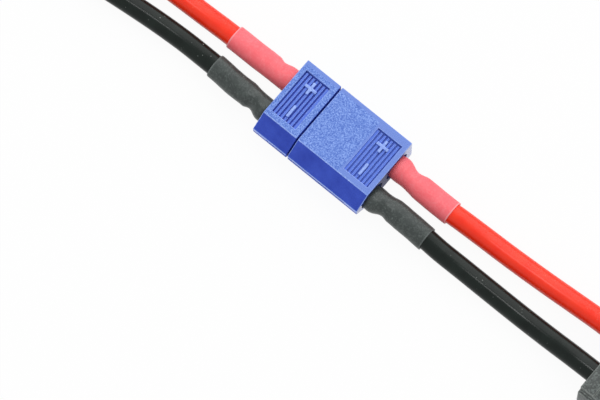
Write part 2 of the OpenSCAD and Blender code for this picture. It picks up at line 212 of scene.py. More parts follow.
def within(tree, value, low, high, soft):
    """1 where a value lies between low and high, with soft ends."""
    rise = spread(tree, value, low - soft, low + soft)
    fall = spread(tree, value, high + soft, high - soft)
    return both(tree, rise, fall)


def new_group(name, inputs, outputs):
    """Node group of values; inputs are pairs of a label and its default."""
    group = bpy.data.node_groups.new(name, "ShaderNodeTree")
    for label, default in inputs:
        socket = group.interface.new_socket(label, in_out="INPUT", socket_type="NodeSocketFloat")
        socket.default_value = default
    for label in outputs:
        group.interface.new_socket(label, in_out="OUTPUT", socket_type="NodeSocketFloat")
    given = node(group, "NodeGroupInput")
    result = node(group, "NodeGroupOutput")
    result.location.x = NODE_STEP_X
    return group, given.outputs, result.inputs


def object_noise(group, size, stretch=(1, 1, 1), detail=2.0):
    """Noise on Object coordinates with features of a size, drawn out where stretch is small."""
    where = node(group, "ShaderNodeTexCoord")
    drawn = node(group, "ShaderNodeVectorMath", operation="MULTIPLY")
    drawn.inputs[1].default_value = stretch
    noise = node(group, "ShaderNodeTexNoise", detail=detail, roughness=0.55)
    group.links.new(where.outputs["Object"], drawn.inputs[0])
    group.links.new(drawn.outputs[0], noise.inputs["Vector"])
    group.links.new(maths(group, "DIVIDE", 1.0, size), noise.inputs["Scale"])
    return noise.outputs["Fac"]


def object_cells(group, size):
    """Random cells of a size on Object coordinates."""
    where = node(group, "ShaderNodeTexCoord")
    cells = node(group, "ShaderNodeTexVoronoi")
    group.links.new(where.outputs["Object"], cells.inputs["Vector"])
    group.links.new(maths(group, "DIVIDE", 1.0, size), cells.inputs["Scale"])
    return cells.outputs


def moulded_grain_group():
    """Spark-eroded grain: masks of its pale tips and dark pits, and a height for the bump."""
    inputs = [("Size", FINE_GRAIN), ("Amount", 1)]
    group, given, result = new_group("moulded_grain", inputs, ["Tips", "Pits", "Height"])
    noise = object_noise(group, given["Size"], detail=1.0)
    chance = node(group, "ShaderNodeSeparateColor")
    group.links.new(object_cells(group, given["Size"])["Color"], chance.inputs["Color"])
    # Half of the cells rise to tips and the other half sink to pits
    for word, full in (("Tips", 1.0), ("Pits", 0.0)):
        mask = spread(group, chance.outputs["Red"], 0.5, full)
        group.links.new(both(group, mask, given["Amount"]), result[word])
    group.links.new(both(group, noise, given["Amount"]), result["Height"])
    return group


def dust_group():
    """Sparse specks of dust: the seeds of large cells, kept only where a slow noise is high."""
    group, given, result = new_group("dust", [("Spacing", 2 * MM), ("Amount", 0.5)], ["Dust"])
    cells = object_cells(group, given["Spacing"])
    speck = spread(group, cells["Distance"], *SPECK_RANGE)
    patch = spread(group, object_noise(group, DUST_PATCH), *PATCH_RANGE)
    dust = both(group, both(group, speck, patch), given["Amount"])
    group.links.new(dust, result["Dust"])
    return group


def cloud_group(name, stretch):
    """Cloudy change of tone from 0 to 1, drawn out where stretch is small."""
    group, given, result = new_group(name, [("Size", 4 * MM)], ["Tone"])
    noise = object_noise(group, given["Size"], stretch, 3.0)
    group.links.new(spread(group, noise, *CLOUD_RANGE), result["Tone"])
    return group


# Sizes of the features of the finishes
HOUSING_GRAIN = 0.16 * MM
FINE_GRAIN = 0.3 * MM
SILICONE_GRAIN = 0.8 * MM
NYLON_MOTTLE = 3 * MM
TUBE_MOTTLE = 1.6 * MM
TUBE_LINES = 0.4 * MM
SILICONE_MOTTLE = 3.5 * MM
METAL_MOTTLE = 1.2 * MM
STRAND_MOTTLE = 0.6 * MM
DUST_PATCH = 4 * MM
TUBE_DUST = 1.1 * MM
SILICONE_DUST = 0.9 * MM
# Rim and core of a speck of dust, in parts of a cell
SPECK_RANGE = (0.16, 0.05)
# Noise at which patches of dust and clouds of tone start, and are full
PATCH_RANGE = (0.5, 0.7)
CLOUD_RANGE = (0.3, 0.7)
# Shares of the clouds, the fine lines and the grit in the tone of a shrink tube
TUBE_CLOUD_SHARE = 0.65
TUBE_LINE_SHARE = 0.35
TUBE_GRIT_SHARE = 0.12

GRAIN = moulded_grain_group()
DUST = dust_group()
MOTTLE = cloud_group("mottle", (1, 1, 1))
# Fine lines round a sleeve that lies along X
STREAKS = cloud_group("streaks", (1, 0.12, 0.12))


def new_material(name, roughness, specular=0.5, metallic=0.0):
    material = bpy.data.materials.new(name)
    material.use_nodes = True
    tree = material.node_tree
    shader = tree.nodes["Principled BSDF"]
    shader.inputs["Roughness"].default_value = roughness
    shader.inputs["Specular IOR Level"].default_value = specular
    shader.inputs["Metallic"].default_value = metallic
    return material, tree, shader


def place_group(tree, group, **values):
    """Places a node group with inputs set by name and returns its outputs."""
    made = node(tree, "ShaderNodeGroup", node_tree=group)
    for name, value in values.items():
        fill(tree, made.inputs[name.capitalize()], value)
    return made.outputs


def mix_colours(tree, factor, low, high):
    """Colour from low to high by a factor socket; low and high are colours or sockets."""
    made = node(tree, "ShaderNodeMix", data_type="RGBA")
    tree.links.new(factor, made.inputs["Factor"])
    for index, given in ((6, low), (7, high)):
        fill(tree, made.inputs[index], (*given, 1) if isinstance(given, tuple) else given)
    return made.outputs[2]


def colour_and_bump(tree, shader, colour, height, strength, distance):
    tree.links.new(colour, shader.inputs["Base Color"])
    bump = node(tree, "ShaderNodeBump", strength=strength, distance=distance)
    tree.links.new(height, bump.inputs["Height"])
    tree.links.new(bump.outputs["Normal"], shader.inputs["Normal"])


def srgb(red, green, blue):
    """Linear colour from display values of 0 to 255."""
    return tuple(
        v / 12.92 if v <= 0.04045 else ((v + 0.055) / 1.055) ** 2.4
        for v in (red / 255, green / 255, blue / 255)
    )


def mottled(tree, size, dark, light):
    """Cloudy ground between two colours."""
    tone = place_group(tree, MOTTLE, size=size)
    return mix_colours(tree, tone["Tone"], dark, light)


def grained_nylon(name, dark, light, tip, pit, roughness):
    """Moulded plastic with a mottled ground and the grain of its mould."""
    material, tree, shader = new_material(name, roughness)
    texture = place_group(tree, GRAIN, size=FINE_GRAIN)
    colour = mottled(tree, NYLON_MOTTLE, dark, light)
    colour = mix_colours(tree, texture["Tips"], colour, tip)
    colour = mix_colours(tree, texture["Pits"], colour, pit)
    colour_and_bump(tree, shader, colour, texture["Height"], strength=0.3, distance=0.05 * MM)
    return material


# Widths over which the housings' tones change: crisp and soft
CRISP = 0.06 * MM
SOFT = 0.15 * MM
# The grain reaches from the plug's back to the socket's panel, and stops short of the square edge
GRAIN_START_X = 2 * PLUG_BACK
GRAIN_END_X = 5.4 * MM
GRAIN_END_Y = 7.3 * MM
# Depths under the face at which the painted shade of the ribs and of the grooves sets in, and is full
RIB_SHADE_DEPTHS = (0.12 * MM, 0.35 * MM)
GROOVE_SHADE_DEPTHS = (0.42 * MM, 0.66 * MM)
# Blues of the housings; the first two vary between a darker and a lighter one. The deep blue is painted
# shade on the chamfers and on the faces in and around the parting gap; the rib and groove blues are
# painted shade in the panels, lighter in the socket's grooves; the blue between the poles is painted
# shade between the sleeves; the flank blue is a painted reflection.
GROUND_BLUE = (srgb(99, 134, 216), srgb(108, 142, 223))
SHADE_DEEP_BLUE = (srgb(42, 68, 180), srgb(58, 86, 201))
RIM_BLUE = srgb(114, 142, 220)
RIB_SHADE_BLUE = srgb(92, 125, 224)
PLUG_GROOVE_SHADE = srgb(40, 67, 177)
SOCKET_GROOVE_SHADE = srgb(68, 98, 195)
TIP_BLUE = srgb(145, 176, 246)
PIT_BLUE = srgb(76, 108, 196)
BETWEEN_POLES_SHADE = srgb(40, 52, 116)
FLANK_REFLECTION_BLUE = srgb(84, 134, 250)
# Roughness of the housings where they are matte and where they are glossy, and the coat there
MATTE_ROUGHNESS = 0.5
GLOSSY_ROUGHNESS = 0.25
GLOSSY_COAT = 0.5
COAT_ROUGHNESS = 0.1


def housing_masks(tree):
    """Masks of the places on the housings that differ in tone, finish or painted light and shade, and
    the depth under a face.
    """
    where = node(tree, "ShaderNodeTexCoord")
    axes = node(tree, "ShaderNodeSeparateXYZ")
    tree.links.new(where.outputs["Object"], axes.inputs[0])
    x, y, z = (axes.outputs[letter] for letter in "XYZ")
    off_middle_x = maths(tree, "ABSOLUTE", x)
    off_middle_y = maths(tree, "ABSOLUTE", y)
    from_axis = maths(tree, "ABSOLUTE", maths(tree, "SUBTRACT", z, AXIS_Z))
    depth = maths(tree, "SUBTRACT", AXIS_Z, from_axis)

    panel_x = within(tree, off_middle_x, PANEL_X - PANEL_L, PANEL_X, CRISP)
    panel_y = within(tree, y, PANEL_Y - PANEL_W / 2, PANEL_Y + PANEL_W / 2, CRISP)
    flat_x = within(tree, x, GRAIN_START_X, GRAIN_END_X, SOFT)
    flat_y = within(tree, y, CHAMFER_Y, GRAIN_END_Y, SOFT)
    mask = {"depth": depth, "panel": both(tree, panel_x, panel_y), "flat": both(tree, flat_x, flat_y)}

    # Faces in and around the parting gap and inside the shroud: smooth, and painted with shade
    rims = within(tree, x, GRIP_FRONT - CRISP, SHROUD_MOUTH + CRISP, CRISP / 2)
    inner_half = HOUSING_W / 2 - SHROUD_WALL
    inner = both(
        tree,
        spread(tree, depth, SHROUD_WALL - CRISP, SHROUD_WALL),
        spread(tree, off_middle_y, inner_half + CRISP, inner_half),
    )
    inside = both(tree, within(tree, x, GRIP_FRONT, SHROUD_FLOOR + CRISP, CRISP / 2), inner)
    mask["mating"] = either(tree, rims, inside)
    # The chamfers, which are painted with shade
    mask["slope"] = spread(tree, y, CHAMFER_Y + CRISP, CHAMFER_Y)
    mask["socket_half"] = spread(tree, x, -CRISP, CRISP)

    # End faces: painted shade between the poles, glossy outside them
    end = spread(tree, off_middle_x, SOCKET_BACK - SOFT, SOCKET_BACK - CRISP)
    outside = spread(tree, off_middle_y, POLE_Y + RECESS_D / 4, POLE_Y + RECESS_D / 2)
    mask["between_poles"] = maths(tree, "SUBTRACT", end, outside)
    mask["end_outside"] = both(tree, end, outside)
    # Upper half of the negative side, painted light as a painted reflection
    flank = spread(tree, y, SOFT - HOUSING_W / 2, CRISP - HOUSING_W / 2)
    upper = spread(tree, z, AXIS_Z + CRISP, AXIS_Z + SOFT)
    mask["upper_flank"] = both(tree, flank, upper)
    return mask


def housing_nylon():
    """Blue nylon of the housings.

    The flats are grained from the plug's back to the socket's panel, short of the square edge.
    The chamfers, the nose, the mating faces and the inside of the shroud are smooth and painted deep
    blue as painted shade. In the panels the ribs and the grooves are painted darker with depth, as
    painted shade. The end faces carry painted shade between the poles and are glossy outside them.
    The upper half of the negative side is glossy and painted light, as a painted reflection.
    """
    material, tree, shader = new_material("blue_nylon", MATTE_ROUGHNESS, specular=0.25)
    mask = housing_masks(tree)
    smooth_place = either(tree, mask["panel"], mask["mating"])
    grained = both(tree, mask["flat"], maths(tree, "SUBTRACT", 1.0, smooth_place))
    texture = place_group(tree, GRAIN, size=HOUSING_GRAIN, amount=grained)

    colour = mix_colours(tree, mask["flat"], RIM_BLUE, mottled(tree, NYLON_MOTTLE, *GROUND_BLUE))
    # Painted shade: a deep blue on the chamfers and on the faces in and around the parting gap
    painted_shade_place = either(tree, mask["slope"], mask["mating"])
    colour = mix_colours(tree, painted_shade_place, colour, mottled(tree, NYLON_MOTTLE, *SHADE_DEEP_BLUE))
    # Painted shade in the panels, darker with depth; the socket's grooves get a lighter painted shade
    groove_shade = mix_colours(tree, mask["socket_half"], PLUG_GROOVE_SHADE, SOCKET_GROOVE_SHADE)
    for depths, shade in ((RIB_SHADE_DEPTHS, RIB_SHADE_BLUE), (GROOVE_SHADE_DEPTHS, groove_shade)):
        panel_shade = both(tree, spread(tree, mask["depth"], *depths), mask["panel"])
        colour = mix_colours(tree, panel_shade, colour, shade)
    # Grain tips and pits, then painted shade between the poles and a painted reflection on the upper
    # flank
    for place, shade in (
        (texture["Tips"], TIP_BLUE),
        (texture["Pits"], PIT_BLUE),
        (mask["between_poles"], BETWEEN_POLES_SHADE),
        (mask["upper_flank"], FLANK_REFLECTION_BLUE),
    ):
        colour = mix_colours(tree, place, colour, shade)
    colour_and_bump(tree, shader, colour, texture["Height"], strength=0.5, distance=0.08 * MM)

    glossy = either(tree, mask["end_outside"], mask["upper_flank"])
    for label, matte, gloss in (
        ("Roughness", MATTE_ROUGHNESS, GLOSSY_ROUGHNESS),
        ("Coat Weight", 0, GLOSSY_COAT),
    ):
        tree.links.new(spread(tree, glossy, 0, 1, matte, gloss), shader.inputs[label])
    shader.inputs["Coat Roughness"].default_value = COAT_ROUGHNESS
    return material


def shrink_tube(name, dark, light, dust_colour, dust, roughness, specular):
    """Matte shrink tube with cloudy tone, fine lines round it, fine grit and a little dust."""
    material, tree, shader = new_material(name, roughness, specular)
    tone = place_group(tree, MOTTLE, size=TUBE_MOTTLE)
    lines = place_group(tree, STREAKS, size=TUBE_LINES)
    texture = place_group(tree, GRAIN, size=FINE_GRAIN)
    specks = place_group(tree, DUST, spacing=TUBE_DUST, amount=dust)
    strong = maths(tree, "MULTIPLY", tone["Tone"], TUBE_CLOUD_SHARE)
    faint = maths(tree, "MULTIPLY", lines["Tone"], TUBE_LINE_SHARE)
    colour = mix_colours(tree, maths(tree, "ADD", strong, faint), dark, light)
    grit = maths(tree, "MULTIPLY", texture["Tips"], TUBE_GRIT_SHARE)
    for place in (grit, specks["Dust"]):
        colour = mix_colours(tree, place, colour, dust_colour)
    colour_and_bump(tree, shader, colour, texture["Height"], strength=0.25, distance=0.05 * MM)
    return material


def silicone(name, dark, light, dust_colour, dust, roughness, specular):
    """Smooth silicone insulation that picks up dust."""
    material, tree, shader = new_material(name, roughness, specular)
    specks = place_group(tree, DUST, spacing=SILICONE_DUST, amount=dust)
    texture = place_group(tree, GRAIN, size=SILICONE_GRAIN)
    colour = mottled(tree, SILICONE_MOTTLE, dark, light)
    colour = mix_colours(tree, specks["Dust"], colour, dust_colour)
    colour_and_bump(tree, shader, colour, texture["Height"], strength=0.08, distance=0.05 * MM)
    return material


def metal(name, dark, light, roughness, size=METAL_MOTTLE):
    """Plated or bare metal with a cloudy tone and fine unevenness."""
    material, tree, shader = new_material(name, roughness, metallic=1.0)
    texture = place_group(tree, GRAIN, size=FINE_GRAIN)
    colour = mottled(tree, size, dark, light)
    colour_and_bump(tree, shader, colour, texture["Height"], strength=0.12, distance=0.03 * MM)
    return material


BLUE_NYLON = housing_nylon()
# Painted highlight: a lighter blue for the rounded edges and the signs
BLUE_HIGHLIGHT_EDGE = grained_nylon(
    "blue_nylon_edge_highlight",
    dark=srgb(128, 158, 236),
    light=srgb(140, 168, 242),
    tip=srgb(160, 188, 252),
    pit=srgb(122, 154, 232),
    roughness=0.35,
)
BLACK_NYLON = grained_nylon(
    "black_nylon",
    dark=srgb(64, 70, 68),
    light=srgb(72, 78, 76),
    tip=srgb(98, 106, 103),
    pit=srgb(52, 57, 55),
    roughness=0.5,
)
# Painted highlight: a paler grey for the end connector's rounded edges
BLACK_HIGHLIGHT_EDGE = grained_nylon(
    "black_nylon_edge_highlight",
    dark=srgb(104, 110, 107),
    light=srgb(118, 124, 120),
    tip=srgb(134, 140, 136),
    pit=srgb(92, 97, 94),
    roughness=0.35,
)
RED_TUBE = {"dust_colour": srgb(255, 176, 181), "dust": 0.4, "roughness": 0.5, "specular": 0.25}
BLACK_TUBE = {"dust_colour": srgb(150, 160, 156), "dust": 1.0, "roughness": 0.33, "specular": 0.28}
RED_SLEEVE = shrink_tube("red_shrink_tube", srgb(254, 106, 114), srgb(255, 122, 130), **RED_TUBE)
BLACK_SLEEVE = shrink_tube("black_shrink_tube", srgb(53, 59, 58), srgb(68, 75, 73), **BLACK_TUBE)
# Painted highlight: lighter tube colours for the band at the sleeves' cut ends
RED_CUT_HIGHLIGHT = shrink_tube("red_shrink_tube_cut_highlight", srgb(255, 150, 156), srgb(255, 166, 172), **RED_TUBE)
BLACK_CUT_HIGHLIGHT = shrink_tube("black_shrink_tube_cut_highlight", srgb(80, 86, 85), srgb(96, 102, 101), **BLACK_TUBE)
RED_LEAD = silicone(
    "red_silicone",
    dark=srgb(252, 45, 20),
    light=srgb(255, 59, 30),
    dust_colour=srgb(255, 150, 120),
    dust=0.4,
    roughness=0.28,
    specular=0.28,
)
BLACK_LEAD = silicone(
    "black_silicone",
    dark=srgb(12, 20, 17),
    light=srgb(25, 34, 30),
    dust_colour=srgb(170, 176, 172),
    dust=1.0,
    roughness=0.22,
    specular=0.17,
)
GOLD = metal("gold_plating", srgb(214, 160, 72), srgb(236, 190, 104), roughness=0.24)
SOLDER = metal("solder", srgb(150, 150, 152), srgb(196, 196, 198), roughness=0.38)
COPPER = metal("copper_strands", srgb(176, 98, 62), srgb(206, 128, 86), roughness=0.35)
TINNED = metal(
    "tinned_strands",
    dark=srgb(168, 168, 170),
    light=srgb(206, 206, 208),
    roughness=0.3,
    size=STRAND_MOTTLE,
)

# Word, colour and finishes of the pieces on the positive and the negative pole; the last finish is a
# lighter one for the cut end of the sleeve, a painted highlight
POLES = {
    1: ("positive", "red", RED_LEAD, RED_SLEEVE, RED_CUT_HIGHLIGHT),
    -1: ("negative", "black", BLACK_LEAD, BLACK_SLEEVE, BLACK_CUT_HIGHLIGHT),
}
# Finishes of the solids that show themselves, by a word in their name
SOLID_FINISHES = {"contact": GOLD, "pin": GOLD, "solder": SOLDER, "conductor": COPPER}
# Slots of a piece with two finishes: its faces, and its rounded or cut edges, whose finish is lighter
# as a painted highlight
FACE_SLOT, HIGHLIGHT_SLOT = 0, 1


# Modelling helpers


def only(obj):
    """Makes obj the one selected and active object."""
    bpy.ops.object.select_all(action="DESELECT")
    obj.select_set(True)
    bpy.context.view_layer.objects.active = obj


def apply_place(obj):
    only(obj)
    bpy.ops.object.transform_apply(location=True, rotation=True, scale=True)


def start_edit(obj, mode="FACE"):
    only(obj)
    bpy.ops.object.mode_set(mode="EDIT")
    bpy.ops.mesh.select_mode(type=mode)
    bpy.ops.mesh.select_all(action="DESELECT")


def end_edit():
    bpy.ops.object.mode_set(mode="OBJECT")


def pick_faces(obj, wanted):
    """In edit mode, selects the faces whose middle and normal pass a test."""
    bpy.ops.mesh.select_mode(type="FACE")
    bpy.ops.mesh.select_all(action="DESELECT")
    mesh = bmesh.from_edit_mesh(obj.data)
    for face in mesh.faces:
        if wanted(face.calc_center_median(), face.normal):
            face.select_set(True)
    bmesh.update_edit_mesh(obj.data)


def pick_edges(obj, wanted):
    """In edit mode, selects the edges whose middle and direction pass a test."""
    bpy.ops.mesh.select_mode(type="EDGE")
    bpy.ops.mesh.select_all(action="DESELECT")
    mesh = bmesh.from_edit_mesh(obj.data)
    for edge in mesh.edges:
        ends = edge.verts[0].co, edge.verts[1].co
        if wanted((ends[0] + ends[1]) / 2, (ends[1] - ends[0]).normalized()):
            edge.select_set(True)
    bmesh.update_edit_mesh(obj.data)


def extrude(x, y, z):
    bpy.ops.mesh.extrude_region_move(
        TRANSFORM_OT_translate={"value": (x, y, z), "orient_type": "GLOBAL"}
    )


def slice_faces(obj, wanted, axis, places):
    """In edit mode, cuts the wanted faces across an axis, 0 for X or 1 for Y, at each place."""
    way = (1, 0, 0) if axis == 0 else (0, 1, 0)
    for place in places:
        pick_faces(obj, wanted)
        bpy.ops.mesh.bisect(plane_co=[place * part for part in way], plane_no=way)


def bevel_picked(width, segments, slot=-1):
    """In edit mode, bevels the selected edges; the new faces take a material slot if one is given."""
    bpy.ops.mesh.bevel(
        offset=width, offset_type="OFFSET", segments=segments, affect="EDGES", material=slot
    )


def paint_picked(obj, slot):
    """In edit mode, gives the selected faces a material slot."""
    obj.active_material_index = slot
    bpy.ops.object.material_slot_assign()


def add_block(name, x0, x1, y0, y1, z0, z1):
    bpy.ops.object.select_all(action="DESELECT")
    bpy.ops.mesh.primitive_cube_add(
        size=1,
        location=((x0 + x1) / 2, (y0 + y1) / 2, (z0 + z1) / 2),
        scale=(x1 - x0, y1 - y0, z1 - z0),
    )
    block = bpy.context.object
    block.name = name
    apply_place(block)
    return block


def add_rod(name, x0, x1, y, z, diameter, sides=64):
    """Round bar along X."""
    bpy.ops.object.select_all(action="DESELECT")
    bpy.ops.mesh.primitive_cylinder_add(
        vertices=sides,
        radius=diameter / 2,
        depth=abs(x1 - x0),
        location=((x0 + x1) / 2, y, z),
        rotation=(0, math.pi / 2, 0),
    )
    rod = bpy.context.object
    rod.name = name
    apply_place(rod)
    return rod


def add_ring(name, place, half_w, half_h, sides):
    """Open ring square to X, in edit mode with all of it selected by edges."""
    bpy.ops.object.select_all(action="DESELECT")
    bpy.ops.mesh.primitive_circle_add(
        vertices=sides, radius=1, location=place, rotation=(0, math.pi / 2, 0), fill_type="NOTHING"
    )
    ring = bpy.context.object
    ring.name = name
    ring.scale = (half_h, half_w, 1)
    apply_place(ring)
    start_edit(ring, "EDGE")
    bpy.ops.mesh.select_all(action="SELECT")
    return ring


def face_outwards():
    """In edit mode, turns all normals outwards."""
    bpy.ops.mesh.select_all(action="SELECT")
    bpy.ops.mesh.normals_make_consistent(inside=False)


def apply_modifier(obj, kind, **values):
    only(obj)
    modifier = obj.modifiers.new(kind.lower(), kind)
    for name, value in values.items():
        setattr(modifier, name, value)
    bpy.ops.object.modifier_apply(modifier=modifier.name)


def combine(obj, operation, tools):
    """Takes other objects out of obj, or joins them to it, and deletes them."""
    for tool in tools:
        apply_modifier(obj, "BOOLEAN", operation=operation, object=tool, solver="EXACT")
    bpy.ops.object.select_all(action="DESELECT")
    for tool in tools:
        tool.select_set(True)
    bpy.ops.object.delete()


def round_edges(obj, width, segments, angle, slot=-1):
    """Rounds the edges sharper than an angle; the new faces take a material slot if one is given."""
    apply_modifier(
        obj,
        "BEVEL",
        width=width,
        segments=segments,
        limit_method="ANGLE",
        angle_limit=math.radians(angle),
        miter_outer="MITER_ARC",
        material=slot,
    )


def smooth(obj, angle=35, flat=False):
    """Smooth shading up to an angle; flat keeps large faces flat beside rounded edges."""
    only(obj)
    bpy.ops.object.shade_smooth_by_angle(angle=math.radians(angle))
    if flat:
        apply_modifier(obj, "WEIGHTED_NORMAL", mode="FACE_AREA", weight=100, keep_sharp=True)


def dress(obj, material, body, slot, *replaced):
    """Gives a finished piece its material, its body and the solids that it stands for; slot is not
    used.
    """
    if not obj.data.materials:
        obj.data.materials.append(material)
    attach(obj, body)
    if replaced:
        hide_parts(*replaced)


# Housings


def keyed_block(name, x0, x1):
    """Block with the two keying chamfers along its negative side, left in edit mode."""
    block = add_block(name, x0, x1, -HOUSING_W / 2, HOUSING_W / 2, 0, HOUSING_H)
    for material in (BLUE_NYLON, BLUE_HIGHLIGHT_EDGE):
        block.data.materials.append(material)
    start_edit(block, "EDGE")
    pick_edges(block, lambda middle, line: abs(line.x) > SQUARE and middle.y < 0)
    bevel_picked(KEY_CHAMFER, segments=1)
    return block


def round_outer_corners(block):
    """Rounds the two long square corners of the positive side."""
    limit = HOUSING_W / 2 - NEAR
    pick_edges(block, lambda middle, line: abs(line.x) > SQUARE and middle.y > limit)
    bevel_picked(CORNER_R, segments=4)


def sink_panel(block, x0, top, shift):
    """Sinks the ribbed finger panel into the top or the bottom, from x0 on."""
    way = 1 if top else -1
    level = HOUSING_H if top else 0
    x1 = x0 + PANEL_L
    y0 = PANEL_Y - PANEL_W / 2
    y1 = PANEL_Y + PANEL_W / 2
    floor = level - way * PANEL_DEPTH

    def on_skin(middle, normal):
        return normal.z * way > LEVEL and abs(middle.z - level) < SKIN_NEAR

    def on_floor(middle, normal):
        return normal.z * way > LEVEL and abs(middle.z - floor) < SKIN_NEAR and x0 < middle.x < x1

    slice_faces(block, on_skin, 0, (x0, x1))
    slice_faces(block, on_skin, 1, (y0, y1))
    pick_faces(block, lambda m, n: on_skin(m, n) and x0 < m.x < x1 and y0 < m.y < y1)
    extrude(0, 0, -way * PANEL_DEPTH)
    pick_edges(
        block,
        lambda middle, line: abs(middle.z - level) < HAIR
        and x0 - HAIR < middle.x < x1 + HAIR
        and y0 - HAIR < middle.y < y1 + HAIR,
    )
    # The panel's rounded rim takes the painted highlight
    bevel_picked(PANEL_ROUND, segments=2, slot=HIGHLIGHT_SLOT)

    first = x0 + RIB_PITCH / 2 + shift
    rib_middles = [first + i * RIB_PITCH for i in range(RIBS)]
    rib_y0 = y0 + RIB_END_GAPS[0]
    rib_y1 = y1 - RIB_END_GAPS[1]
    slice_faces(block, on_floor, 0, [x + side * RIB_W / 2 for x in rib_middles for side in (-1, 1)])
    slice_faces(block, on_floor, 1, (rib_y0, rib_y1))

    def on_rib(middle, normal):
        near = min(abs(middle.x - x) for x in rib_middles)
        return on_floor(middle, normal) and near < NEAR and rib_y0 < middle.y < rib_y1

    pick_faces(block, on_rib)
    extrude(0, 0, way * RIB_H)
    rib_top = floor + way * RIB_H
    pick_edges(block, lambda middle, line: abs(middle.z - rib_top) < HAIR and x0 < middle.x < x1)
    # The ribs' rounded tops take the painted highlight
    bevel_picked(RIB_ROUND, segments=2, slot=HIGHLIGHT_SLOT)


def polarity_sign(name, x, y, plus, level, way):
    """Raised bar, or cross of two bars, that stands on the floor of a panel."""
    bottom, top = sorted((level - way * (PANEL_DEPTH + SIGN_SINK), level - way * SIGN_SINK))
    sign = add_block(
        name, x - SIGN_HALF_W, x + SIGN_HALF_W, y - SIGN_REACH, y + SIGN_REACH, bottom, top
    )
    if plus:
        start_edit(sign)
        for side in (-1, 1):

            def on_side(middle, normal):
                return normal.x * side > SQUARE

            slice_faces(sign, on_side, 1, (y - SIGN_HALF_W, y + SIGN_HALF_W))
            pick_faces(sign, lambda m, n: on_side(m, n) and abs(m.y - y) < SIGN_HALF_W)
            extrude(side * (SIGN_REACH - SIGN_HALF_W), 0, 0)
        end_edit()
    round_edges(sign, SIGN_ROUND, segments=3, angle=60)
    return sign


def contact_holes(back, way, end):
    """Cutters for the two contact bores, their collar seats and the recesses for the sleeves."""
    cutters = []
    for pole in (-1, 1):
        for name, depth_end, diameter in (
            ("bore", end + way * CUT_PAST, BORE_D),
            ("seat", back + way * SEAT_L, SEAT_D),
            ("recess", back + way * RECESS_L, RECESS_D),
        ):
            start = back - way * CUT_PAST
            cutters.append(add_rod(name, start, depth_end, pole * POLE_Y, AXIS_Z, diameter))
    return cutters


def channel_cutter(x0, x1):
    """Cutter for the shallow channel along the negative side."""
    side = -HOUSING_W / 2
    half = CHANNEL_W / 2
    return add_block(
        "channel", x0, x1, side - CUT_PAST, side + CHANNEL_DEPTH, AXIS_Z - half, AXIS_Z + half
    )


def housing(side, back, front, end, wall):
    """One housing from its back to its front face; its nose or its shroud's floor lies at end."""
    way = 1 if front > back else -1
    block = keyed_block(f"{side}_shell", min(back, front), max(back, front))
    pick_faces(block, lambda middle, normal: normal.x * way > SQUARE)
    bpy.ops.mesh.inset(thickness=wall, use_even_offset=True)
    extrude(end - front, 0, 0)
    round_outer_corners(block)
    end_edit()
    # The rounded edges take the painted highlight
    round_edges(block, MOULD_ROUND, segments=3, angle=30, slot=HIGHLIGHT_SLOT)
    channel_ends = sorted((back + way * CHANNEL_FROM_BACK, front + way * CUT_PAST))
    combine(block, "DIFFERENCE", [channel_cutter(*channel_ends)])
    # The channel's rounded edges take the painted highlight
    round_edges(block, CHANNEL_ROUND, segments=2, angle=50, slot=HIGHLIGHT_SLOT)
    start_edit(block)
    if side == "plug":
        # No painted highlight on the edge along the parting gap on the plug's side
        pick_faces(block, lambda middle, normal: abs(middle.x - front) < RIM_REACH)
        paint_picked(block, FACE_SLOT)
    for top in (True, False):
        sink_panel(block, PANEL_START[side], top, way * RIB_OFFSET)
    end_edit()
    combine(block, "DIFFERENCE", contact_holes(back, way, end))
    smooth(block, flat=True)
    dress(block, BLUE_NYLON, f"{side}_side", "blue_nylon", f"{side}_housing")


def polarity_signs():
    """A plus and a minus in each panel, beside the pole that they stand for."""
    for side, x0 in PANEL_START.items():
        for face, level, way in (("top", HOUSING_H, 1), ("under", 0, -1)):
            for word, y, plus in SIGNS:
                name = f"{side}_{word}_{face}"
                sign = polarity_sign(name, x0 + PANEL_L / 2, y, plus, level, way)
                smooth(sign, flat=True)
                # The signs take the lighter edge blue, a painted highlight
                dress(sign, BLUE_HIGHLIGHT_EDGE, f"{side}_side", "blue_nylon")


# Leads and sleeves


# Points of the leads' middles from the housings outwards, in mm, the same as the solids'
ROUTE_X = {
    "plug": (-17.575, -21, -25, -29, -34, -40, -46, -52, -58, -62.5),
    "socket": (17.575, 21, 25, 29, 34, 40, 48, 55, 60.5, 65.4, 69.4),
}
ROUTE_Y = {
    ("plug", 1): (3.58, 3.58, 3.68, 3.73, 3.63, 3.45, 3.2, 3, 3, 3),
    ("plug", -1): (-3.3, -3.3, -2.94, -2.79, -2.75, -3.07, -3.6, -4.2, -4.5, -4.5),
    ("socket", 1): (3.35, 3.35, 3.45, 3.75, 4, 4.2, 4.6, 4.95, 5.1, 5.1, 5.1),
    ("socket", -1): (-3.25, -3.25, -3.3, -3.4, -3.3, -3.3, -3.3, -3.3, -3.3, -3.3, -3.3),
}
ROUTE_Z = {
    "plug": (4.05, 3.65, 3.1, 2.6, 2.2, 2.15, 2.15, 2.15, 2.15, 2.15),
    "socket": (4.05, 3.65, 3.1, 2.6, 2.2, 2.15, 2.25, 2.9, 3.8, 4.25, 4.25),
}


def smooth_route(points, steps=3):
    """Points of one smooth curve through the route, in metres."""
    route = [Vector(p) * MM for p in points]
    ends = [2 * route[0] - route[1], *route, 2 * route[-1] - route[-2]]
    made = []
    for a, b, c, d in zip(ends, ends[1:], ends[2:], ends[3:]):
        for k in range(steps):
            t = k / steps
            made.append(
                0.5 * (2 * b + (c - a) * t + (2 * a - 5 * b + 4 * c - d) * t * t)
                + 0.5 * (3 * b - a - 3 * c + d) * t * t * t
            )
    made.append(route[-1])
    return made


